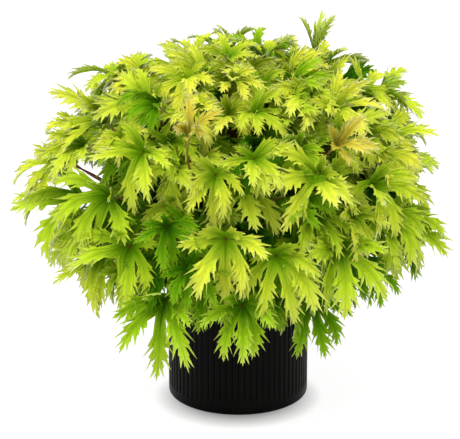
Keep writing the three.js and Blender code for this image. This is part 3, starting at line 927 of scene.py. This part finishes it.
class Growth:
    """Grows the leaves one by one, each clear of those before it."""

    def __init__(self, scene):
        pot = scene.coral_pot
        self.apex = Vector(scene.coral_crown.apex)
        self.mound = Mound(scene.coral_mound, self.apex)
        self.shape = scene.coral_mound
        self.lip = pot.radius + pot.rim_proud + POT_MARGIN
        self.pot_top = pot.height + POT_MARGIN
        self.tries = scene.coral_leaf.tries
        self.sight = math.tan(scene.coral_stage.elevation)
        self.masses = foliage_masses(scene.coral_crown, scene.coral_leaf.seed)
        self.leaves = []
        self.blades = []

    def nearest_mass(self, point):
        """The mass whose axis lies nearest to a point's direction."""
        way = (point - self.apex).normalized()
        return max(self.masses, key=lambda mass: mass.axis.dot(way))

    def in_gap(self, point):
        """Whether a point lies in one of the gaps."""
        height = point.z + self.sight * point.y
        return any(
            ((point.x - middle) / wide) ** 2 + ((height - level) / high) ** 2 < 1
            for middle, level, wide, high in GAPS
        )

    def fits(self, leaf):
        """Whether a leaf keeps clear of the pot and, unless it is showy, inside the mound and out of gaps."""
        shape = self.shape
        for point in leaf.rim(RIM_REACH):
            away = math.hypot(point.x, point.y)
            skirt = shape.skirt + shape.skirt_slope * max(0.0, away - shape.skirt_start)
            within = leaf.showy or (point.z > skirt and self.mound.level(point, shape.roundness) < 1)
            outside = away > self.lip or point.z > self.pot_top
            if not (within and outside):
                return False
        return leaf.showy or not any(self.in_gap(point) for point in leaf.rim(1.0) + leaf.rim(GAP_SHARE))

    def add(self, leaf, spacing, crossing):
        """Adds a leaf at the first size that fits and crosses nothing with the middle of its blade."""
        near = []
        for other, blade in zip(self.leaves, self.blades):
            gap = (other.hub - leaf.hub).length
            if gap < spacing:
                return
            if gap < leaf.length + other.length:
                near.append(blade)
        full = leaf.length
        for size in SIZES_TRIED:
            leaf.length = full * size
            if not self.fits(leaf):
                continue
            blade = leaf.coarse(crossing)
            if any(blade.overlap(other) for other in near):
                continue
            self.leaves.append(leaf)
            self.blades.append(blade)
            return

    def grow(self):
        """The showy leaves first, then each layer from the surface inwards."""
        for mass in self.masses:
            for azimuth, elevation, length, turn, depth, steeper, tone in SHOWY:
                way = direction(azimuth, elevation)
                length *= MILLIMETRE
                turn = math.radians(turn)
                leaf = Leaf(mass, self.mound, way, depth, turn, SHOWY_LEAN, length, tone, steeper, showy=True)
                if self.nearest_mass(leaf.hub) is mass:
                    self.add(leaf, 0.0, SHOWY_CROSSING)
        for layer in LAYERS:
            for k in range(self.tries):
                for mass in self.masses:
                    self.try_spiral(mass, k, layer)
        return self.leaves

    def try_spiral(self, mass, k, layer):
        """Tries place number k on a mass's spiral."""
        draw = [mass.random() for _ in range(DRAWS)]
        way = mass.way(k, self.tries, draw[0])
        depth = between(layer["depth"], math.sqrt(draw[1])) * self.mound.lump(way)
        turn = between(TURN, draw[2])
        lean = between(LEAN, draw[3])
        scale = 1 - TOP_SMALLER * max(0.0, way.z)
        length = scale * between(layer["length"], draw[4])
        # Tones are paler at the sides and the top and deeper in the middle of the front: partly the leaves'
        # own colour, partly painted light and shade
        to_side = 1 - (BACK_SHARE * way.y if way.y > 0 else -way.y)
        pale = max(to_side, way.z)
        tone = dealt(layer["tones"], draw[5] ** between(PALENESS, pale))
        leaf = Leaf(mass, self.mound, way, depth, turn, lean, length, tone)
        if self.nearest_mass(leaf.hub) is mass:
            self.add(leaf, scale * layer["spacing"], layer["crossing"])


# Leaf and stalk meshes

WIDEST = 0.42  # across to along at a lobe's widest, where its own map ends
THINNER = 0.7  # share of the hub's thickness that is lost along a midrib
TIP_CURL = 0.015  # how far a tooth's tip curls down, as a share of the leaf's length
EDGE_WIDTHS = (0.97, 1.03)  # how far points of the edge stray across a lobe
ALONG_STRAY = 0.012  # along it
LIFT_STRAY = 0.02  # and up or down
STALK_SIDES = 6
STALK_STEPS = 12


class LeafPattern:
    """The faces of a leaf and where its points lie on its lobes, the same for every leaf.

    The points of the upper side come first, then those of the underside, and then the margin that both
    share: the cuts between the lobes, and each lobe's edge.
    """

    def __init__(self):
        self.triangles = []
        self.lobes = []
        inner = [(0, 0.0)]
        edge = []
        for number, (_, _, small) in enumerate(LOBES):
            ribs = [0]
            for station in (SMALL_MIDRIB if small else MIDRIB)[1:-1]:
                ribs.append(len(inner))
                inner.append((number, station))
            sides = {}
            for sign in (1, -1):
                sides[sign] = []
                for along, across, station in SMALL_EDGE if small else LOBE_EDGE:
                    sides[sign].append((len(LOBES) + len(edge), station))
                    edge.append((number, along, sign * across))
            tip = len(LOBES) + len(edge)
            edge.append((number, 1.0, 0.0))
            self.lobes.append((ribs, sides, tip, SMALL_CUT_STATION if small else CUT_STATION))
        for number in range(len(LOBES)):
            self.zip_lobe(number, 1)
            self.zip_lobe(number, -1)
        self.inner = np.array(inner)
        self.edge = np.array(edge)
        along = self.edge[:, 1]
        self.tips = np.append(along[:-1] > along[1:], True)
        self.margin_start = 2 * len(inner)
        self.margin_count = len(LOBES) + len(edge)

    def zip_lobe(self, number, sign):
        """Triangles between a lobe's midrib and one of its edges. Margin points are numbered from -1 down."""
        ribs, sides, tip, cut_station = self.lobes[number]
        cut = number if sign > 0 else (number - 1) % len(LOBES)
        at = 0
        previous = -1 - cut
        steps = [(cut, cut_station), *sides[sign], (tip, len(ribs) - 1)]
        for margin, station in steps:
            while at < station:
                self.add_triangle(sign, ribs[at], ribs[at + 1], previous)
                at += 1
            current = -1 - margin
            if current != previous:
                self.add_triangle(sign, ribs[at], current, previous)
            previous = current

    def add_triangle(self, sign, *corners):
        """Keeps a triangle with its upper side outwards."""
        self.triangles.append(corners if sign > 0 else corners[::-1])


class LeafMesh:
    """Collects the leaves of one mass into arrays."""

    def __init__(self, pattern, sizes, seed):
        self.pattern = pattern
        self.sizes = sizes
        self.random = np.random.default_rng(seed)
        corners = np.array(pattern.triangles)
        margin = pattern.margin_start - 1 - corners
        self.upper = np.where(corners < 0, margin, corners)
        self.lower = np.where(corners < 0, margin, corners + len(pattern.inner))[:, ::-1]
        self.points = []
        self.places = []
        self.faces = []
        self.slots = []
        self.count = 0

    def add(self, leaf):
        """Adds a leaf's closed, thin blade."""
        pattern = self.pattern
        inner = np.zeros((len(pattern.inner), 3))
        facing = np.zeros((len(pattern.inner), 3))
        facing[0] = leaf.normal
        thick = self.sizes.thickness * (1 - THINNER * pattern.inner[:, 1])
        margin = np.zeros((pattern.margin_count, 3))
        inner_map = np.zeros((len(pattern.inner), 2))
        margin_map = np.zeros((pattern.margin_count, 2))
        for number, lobe in enumerate(leaf.lobes):
            ribs = np.flatnonzero((pattern.inner[:, 0] == number) & (pattern.inner[:, 1] > 0))
            along = pattern.inner[ribs, 1] * lobe.length
            inner[ribs], facing[ribs] = lobe.surface(along, np.zeros_like(along))
            inner_map[ribs, 1] = along
            edge = np.flatnonzero(pattern.edge[:, 0] == number)
            margin[len(LOBES) + edge], margin_map[len(LOBES) + edge] = self.lay_edge(lobe, edge)
        self.place_cuts(leaf.lobes, margin, margin_map)
        under = inner - facing * thick[:, None]
        local = np.concatenate([inner, under, margin]) * leaf.length
        own_map = np.concatenate([inner_map, inner_map, margin_map])
        tile = TILE_NAMES.index(leaf.tone)
        upper_places = self.on_tile(own_map[self.upper], tile)
        lower_places = self.on_tile(own_map[self.lower], UNDERSIDE_TILE)
        self.points.append(local + np.array(leaf.hub))
        self.faces.append(np.concatenate([self.upper, self.lower]) + self.count)
        self.places.append(np.concatenate([upper_places, lower_places]))
        self.slots.append(np.repeat([tile, UNDERSIDE_TILE], len(self.upper)))
        self.count += len(local)

    def lay_edge(self, lobe, edge):
        """Points of a lobe's edge, each a little astray, and their places on the leaf's map."""
        _, along, across = self.pattern.edge[edge].T
        turned = np.abs(across) / along / WIDEST
        wider = self.random.uniform(*EDGE_WIDTHS, len(edge))
        along = (along + self.random.uniform(-ALONG_STRAY, ALONG_STRAY, len(edge))) * lobe.length
        points, upper = lobe.surface(along, across * lobe.length * lobe.width * wider)
        lift = self.random.uniform(-LIFT_STRAY, LIFT_STRAY, len(edge)) - TIP_CURL * self.pattern.tips[edge]
        return points + upper * lift[:, None], np.stack([turned, along], axis=1)

    def place_cuts(self, lobes, margin, margin_map):
        """Puts each cut between two lobes halfway between where they have it."""
        for number, lobe in enumerate(lobes):
            after = lobes[(number + 1) % len(lobes)]
            gap = (after.turn - lobe.turn) % FULL_TURN
            last = number == len(lobes) - 1
            depth = self.sizes.sinus if last else self.sizes.cut * min(lobe.length, after.length)
            found = []
            for one, away in ((lobe, gap / 2), (after, -gap / 2)):
                along = np.array([depth * math.cos(away)])
                across = np.array([depth * math.sin(away)])
                found.append(one.surface(along, across)[0][0])
            margin[number] = (found[0] + found[1]) / 2
            margin_map[number] = (1, depth)

    def on_tile(self, places, tile):
        """Places on a tile of the map, for every face corner."""
        corner = np.array([tile % TILES_ACROSS, tile // TILES_ACROSS])
        inset = TILE_INSET + (1 - 2 * TILE_INSET) * np.clip(places, 0, 1)
        return (corner + inset) / TILES_ACROSS

    def mesh(self, name):
        """The joined mesh, smooth on each side and sharp along the leaves' edges."""
        mesh = arrays_mesh(name, self.points, self.faces, self.places)
        mesh.polygons.foreach_set("material_index", np.concatenate(self.slots).astype(np.int32))
        per_leaf = self.pattern.margin_start + self.pattern.margin_count
        ends = np.zeros(2 * len(mesh.edges), np.int32)
        mesh.edges.foreach_get("vertices", ends)
        on_margin = (ends % per_leaf >= self.pattern.margin_start).reshape(-1, 2).all(axis=1)
        sharp = mesh.attributes.new("sharp_edge", "BOOLEAN", "EDGE")
        sharp.data.foreach_set("value", on_margin)
        mesh.update()
        return mesh


def arrays_mesh(name, points, triangles, places):
    """A mesh from lists of arrays of points and triangles, with its own map for every corner."""
    mesh = bpy.data.meshes.new(name)
    mesh.from_pydata(np.concatenate(points).tolist(), [], np.concatenate(triangles).tolist())
    layer = mesh.uv_layers.new(name=MAP_NAME)
    layer.data.foreach_set("uv", np.concatenate(places).reshape(-1).astype(np.float32))
    mesh.shade_smooth()
    return mesh


def stalk_arrays(leaf, sizes):
    """Points, faces and map of one stalk: a tapering tube with closed ends, from the leaf to the stem."""
    curve = leaf.stalk()
    side = leaf.ahead.copy()
    rings = []
    for step in range(STALK_STEPS, -1, -1):
        share = step / STALK_STEPS
        point, heading = curve(share)
        side = (side - heading * side.dot(heading)).normalized()
        across = heading.cross(side)
        radius = between((sizes.stalk_radius, sizes.stalk_tip_radius), share)
        for corner in range(STALK_SIDES):
            angle = FULL_TURN * corner / STALK_SIDES
            rings.append(point + side * (radius * math.cos(angle)) + across * (radius * math.sin(angle)))
    faces = []
    for step in range(STALK_STEPS):
        for corner in range(STALK_SIDES):
            after = (corner + 1) % STALK_SIDES
            high = step * STALK_SIDES
            low = high + STALK_SIDES
            faces.append((high + corner, low + corner, low + after))
            faces.append((high + corner, low + after, high + after))
    end = STALK_STEPS * STALK_SIDES
    for corner in range(1, STALK_SIDES - 1):
        faces.append((0, corner, corner + 1))
        faces.append((end, end + corner + 1, end + corner))
    faces = np.array(faces)
    number = np.arange(len(rings))
    around = (number % STALK_SIDES) / STALK_SIDES
    along = 1 - number // STALK_SIDES / STALK_STEPS
    return np.array(rings), faces, np.stack([around, along], axis=1)[faces]


# Operators

FOOT_STEPS = 4
STEPS_PER_FLUTE = 8
FLUTE_STATIONS = (0.0, 0.02, 0.05, 0.5, 0.95, 0.98, 1.0)  # from the foot band to the lip
FLUTE_ROUND = 0.55  # below 1, a ridge is broad and a groove is narrow
POT_SHARP = math.radians(50)  # edges that turn more stay sharp


class CORAL_OT_pot(bpy.types.Operator):
    """Build the fluted pot."""

    bl_idname = "coral.pot"
    bl_label = "Pot"

    def execute(self, context):
        sizes = context.scene.coral_pot
        lip = sizes.radius + sizes.rim_proud
        inside = sizes.radius - sizes.flute_depth - sizes.wall
        shoulder = sizes.height - sizes.rim_band
        profile = [(0, 0)]
        for step in range(FOOT_STEPS + 1):
            angle = math.pi / 2 * step / FOOT_STEPS
            across = sizes.radius - sizes.foot_round * (1 - math.sin(angle))
            profile.append((across, sizes.foot_round * (1 - math.cos(angle))))
        profile.append((sizes.radius, sizes.foot_band - sizes.edge))
        for share in FLUTE_STATIONS:
            profile.append((sizes.radius, between((sizes.foot_band, shoulder), share)))
        profile += [
            (lip - sizes.edge, shoulder + sizes.edge),
            (lip, shoulder + 2 * sizes.edge),
            (lip, sizes.height - sizes.edge),
            (lip - sizes.edge, sizes.height),
            (inside + sizes.edge, sizes.height),
            (inside, sizes.height - sizes.edge),
            (inside, sizes.floor),
            (0, sizes.floor),
        ]
        shape = bmesh.new()
        spun(shape, profile, sizes.flutes * STEPS_PER_FLUTE)
        for corner in shape.verts:
            self.press_flute(corner, sizes, shoulder)
        mesh = mesh_of("fluted_pot", shape)
        mesh.set_sharp_from_angle(angle=POT_SHARP)
        finished("fluted_pot", mesh, [pot_material(sizes.colour)], ["pot"])
        return {"FINISHED"}

    def press_flute(self, corner, sizes, shoulder):
        """Presses a point of the outer wall in where a groove runs."""
        radius = math.hypot(corner.co.x, corner.co.y)
        on_wall = abs(radius - sizes.radius) < 2 * TINY
        if not on_wall or corner.co.z < sizes.foot_band + TINY or corner.co.z > shoulder - TINY:
            return
        turn = math.atan2(corner.co.y, corner.co.x) * sizes.flutes / FULL_TURN
        ridge = abs(math.sin(math.pi * turn)) ** FLUTE_ROUND
        pressed = 1 - sizes.flute_depth * (1 - ridge) / radius
        corner.co.x *= pressed
        corner.co.y *= pressed


SOIL_RINGS = 22
SOIL_SIDES = 96
SOIL_SCALE = 70.0  # how small the lumps are
SOIL_ROUGHNESS = 0.9
SOIL_GAIN = 2.1  # from one octave of the lumps to the next
SOIL_OCTAVES = 4
SOIL_LEVEL = 0.6  # lump that keeps the soil's own level
CRUMB_SIZES = (0.35, 1.0)  # shares of the largest crumb
CRUMB_WIDTHS = (0.6, 1.0)
CRUMB_HEIGHTS = (0.5, 0.8)


class CORAL_OT_soil(bpy.types.Operator):
    """Fill the pot with lumpy soil."""

    bl_idname = "coral.soil"
    bl_label = "Soil"

    def execute(self, context):
        sizes = context.scene.coral_soil
        pot = context.scene.coral_pot
        radius = pot.radius - pot.flute_depth - pot.wall - sizes.clearance
        low = pot.floor + sizes.clearance
        profile = [(0, low), (radius, low)]
        for ring in range(SOIL_RINGS, -1, -1):
            share = ring / SOIL_RINGS
            profile.append((radius * share, sizes.top - sizes.edge_drop * share**2))
        shape = bmesh.new()
        spun(shape, profile, SOIL_SIDES)
        for corner in shape.verts:
            away = math.hypot(corner.co.x, corner.co.y)
            if corner.co.z > sizes.top - 2 * sizes.edge_drop and away < radius - TINY:
                lump = noise.fractal(corner.co * SOIL_SCALE, SOIL_ROUGHNESS, SOIL_GAIN, SOIL_OCTAVES)
                corner.co.z += sizes.roughness * (lump - SOIL_LEVEL)
        random = seeded(context.scene.coral_leaf.seed)
        for _ in range(sizes.crumbs):
            self.add_crumb(shape, sizes, radius, random)
        bmesh.ops.recalc_face_normals(shape, faces=shape.faces)
        mesh = mesh_of("potting_soil", shape)
        finished("potting_soil", mesh, [soil_material(sizes.colour)], ["soil"])
        return {"FINISHED"}

    def add_crumb(self, shape, sizes, radius, random):
        """Adds a loose crumb somewhere on the soil."""
        away = (radius - 2 * sizes.crumb_size) * math.sqrt(random())
        turn = FULL_TURN * random()
        size = sizes.crumb_size * between(CRUMB_SIZES, random())
        high = sizes.top - sizes.edge_drop * (away / radius) ** 2
        place = Matrix.Translation((away * math.cos(turn), away * math.sin(turn), high))
        width = between(CRUMB_WIDTHS, random())
        height = between(CRUMB_HEIGHTS, random())
        squash = Matrix.Diagonal((1, width, height, 1))
        spin = Matrix.Rotation(FULL_TURN * random(), 4, "Z")
        bmesh.ops.create_icosphere(shape, subdivisions=1, radius=size, matrix=place @ spin @ squash)


CROWN_SIDES = 40
CROWN_STEPS = 30
CROWN_BEND = 0.25  # share of the height where the crown leans over
CROWN_CREST = 0.88  # share of the height where the top starts to round over
CROWN_TIP = 0.3  # radius at the very top, as a share of the crown's
CROWN_FLARE_FADE = 6  # how fast the flare dies away up the crown
BRANCH_SIDES = 14
BRANCH_STEPS = 28
BRANCH_ROOT = 0.7  # where a branch starts inside the crown, as a share of the fork's radius


class CORAL_OT_wood(bpy.types.Operator):
    """Build the crown, and the branches with their stems."""

    bl_idname = "coral.wood"
    bl_label = "Crown and branches"

    def execute(self, context):
        sizes = context.scene.coral_crown
        soil = context.scene.coral_soil
        bark = bark_material(sizes.colour)
        masses = foliage_masses(sizes, context.scene.coral_leaf.seed)
        apex = Vector(sizes.apex)
        foot = Vector((0, 0, soil.top - soil.edge_drop / 2))
        tip = apex + UP * (sizes.fork_radius - soil.clearance)
        low = between((soil.top, apex.z), CROWN_BEND)
        curve = bezier_curve(foot, Vector((foot.x, 0, low)), Vector((tip.x, 0, low)), tip)
        crown = limb_shape(curve, self.crown_radius(sizes), CROWN_SIDES, CROWN_STEPS, sizes.relief)
        finished("crown_bark", mesh_of("crown_bark", crown), [bark], ["crown"])
        for mass in masses:
            branch = line_curve(apex + mass.axis * (BRANCH_ROOT * sizes.fork_radius), mass.stem_end)
            taper = self.branch_radius(sizes)
            shape = limb_shape(branch, taper, BRANCH_SIDES, BRANCH_STEPS, sizes.relief)
            name = f"branch_bark_{mass.suffix}"
            nodes = [] if mass is masses[0] else [f"branch_{mass.suffix}"]
            finished(name, mesh_of(name, shape), [bark], nodes)
        return {"FINISHED"}

    def crown_radius(self, sizes):
        """The crown's radius from its flare at the soil to its rounded top."""

        def radius_at(share):
            over = max(0.0, share - CROWN_CREST) / (1 - CROWN_CREST)
            rounded = math.sqrt(1 - (1 - CROWN_TIP**2) * over**2)
            return sizes.radius * rounded + sizes.flare * math.exp(-CROWN_FLARE_FADE * share)

        return radius_at

    def branch_radius(self, sizes):
        """The taper of a branch and its stem."""
        taper = (sizes.branch_radius, sizes.stem_tip_radius)
        return lambda share: between(taper, share)


class CORAL_OT_foliage(bpy.types.Operator):
    """Grow the leaves and stalks of every mass."""

    bl_idname = "coral.foliage"
    bl_label = "Leaves and stalks"

    def execute(self, context):
        sizes = context.scene.coral_leaf
        growth = Growth(context.scene)
        leaves = growth.grow()
        finishes = [leaf_material(f"leaf_{tone}", i, TONES[tone], HUB_DOT) for i, tone in enumerate(TONES)]
        finishes.append(leaf_material("leaf_underside", UNDERSIDE_TILE, UNDERSIDE, UNDERSIDE[0]))
        stalk_finish = stalk_material(sizes)
        pattern = LeafPattern()
        for number, mass in enumerate(growth.masses):
            own = [leaf for leaf in leaves if leaf.mass is mass]
            blades = LeafMesh(pattern, sizes, sizes.seed + number)
            for leaf in own:
                blades.add(leaf)
            name = f"leaves_{mass.suffix}"
            finished(name, blades.mesh(name), finishes, [f"foliage_{mass.suffix}"])
            self.build_stalks(f"stalks_{mass.suffix}", own, sizes, stalk_finish)
        return {"FINISHED"}

    def build_stalks(self, name, leaves, sizes, finish):
        """Joins the stalks of a mass into one piece."""
        points = []
        faces = []
        places = []
        count = 0
        for leaf in leaves:
            ring, ring_faces, own_map = stalk_arrays(leaf, sizes)
            points.append(ring)
            faces.append(ring_faces + count)
            places.append(own_map)
            count += len(ring)
        finished(name, arrays_mesh(name, points, faces, places), [finish], [])


FLOOR_CELLS = 4


class CORAL_OT_stage(bpy.types.Operator):
    """Set the floor, the light and the camera."""

    bl_idname = "coral.stage"
    bl_label = "Stage"

    def execute(self, context):
        scene = context.scene
        stage = scene.coral_stage
        self.lay_floor(scene, stage)
        self.set_light(scene, stage)
        self.set_camera(scene, stage)
        return {"FINISHED"}

    def lay_floor(self, scene, stage):
        """Lays the glowing floor."""
        shape = bmesh.new()
        bmesh.ops.create_grid(
            shape, x_segments=FLOOR_CELLS, y_segments=FLOOR_CELLS, size=stage.floor_size / 2
        )
        mesh = mesh_of("studio_floor", shape)
        mesh.materials.append(floor_material(stage, scene.coral_pot.radius))
        floor = bpy.data.objects.new("studio_floor", mesh)
        scene.collection.objects.link(floor)

    def set_light(self, scene, stage):
        """Sets a white sky and a broad light."""
        world = bpy.data.worlds.new("studio_sky")
        world.use_nodes = True
        background = world.node_tree.nodes["Background"]
        background.inputs["Color"].default_value = (*WHITE, 1)
        background.inputs["Strength"].default_value = stage.sky
        scene.world = world
        scene.view_settings.view_transform = "Standard"
        light = bpy.data.lights.new("key_light", "SUN")
        light.energy = stage.key_strength
        light.angle = stage.key_softness
        self.aimed("key_light", light, Vector((0, 0, 0)), Vector(stage.key_way), scene)

    def set_camera(self, scene, stage):
        """Sets the camera in front of the plant, looking down on it."""
        camera = bpy.data.cameras.new("camera")
        camera.lens = stage.lens
        camera.sensor_width = stage.sensor
        camera.clip_end = stage.far
        back = FRONT * math.cos(stage.elevation) + UP * math.sin(stage.elevation)
        place = Vector(stage.target) + back * stage.distance
        scene.camera = self.aimed("camera", camera, place, -back, scene)

    def aimed(self, name, data, place, way, scene):
        """An object at a place that looks along a way."""
        thing = bpy.data.objects.new(name, data)
        scene.collection.objects.link(thing)
        thing.location = place
        thing.rotation_euler = way.to_track_quat("-Z", "Y").to_euler()
        return thing


class CORAL_PT_panel(bpy.types.Panel):
    """Lists the steps that build the plant."""

    bl_idname = "CORAL_PT_panel"
    bl_label = "Coral bells"
    bl_space_type = "VIEW_3D"
    bl_region_type = "UI"
    bl_category = "Coral bells"

    def draw(self, context):
        for operator in OPERATORS:
            self.layout.operator(operator.bl_idname)


GROUPS = {
    "coral_pot": PotSizes,
    "coral_soil": SoilSizes,
    "coral_crown": CrownSizes,
    "coral_mound": MoundSizes,
    "coral_leaf": LeafSizes,
    "coral_stage": StageSettings,
}
OPERATORS = (CORAL_OT_pot, CORAL_OT_soil, CORAL_OT_wood, CORAL_OT_foliage, CORAL_OT_stage)


def register():
    """Registers the property groups, the operators and the panel."""
    for name, group in GROUPS.items():
        bpy.utils.register_class(group)
        setattr(bpy.types.Scene, name, bpy.props.PointerProperty(type=group))
    for operator in OPERATORS:
        bpy.utils.register_class(operator)
    bpy.utils.register_class(CORAL_PT_panel)


def unregister():
    """Undoes register."""
    bpy.utils.unregister_class(CORAL_PT_panel)
    for operator in reversed(OPERATORS):
        bpy.utils.unregister_class(operator)
    for name, group in reversed(GROUPS.items()):
        delattr(bpy.types.Scene, name)
        bpy.utils.unregister_class(group)


def main():
    """Builds the plant and its stage."""
    register()
    bpy.ops.coral.pot()
    bpy.ops.coral.soil()
    bpy.ops.coral.wood()
    bpy.ops.coral.foliage()
    bpy.ops.coral.stage()


if __name__ == "__main__":
    main()
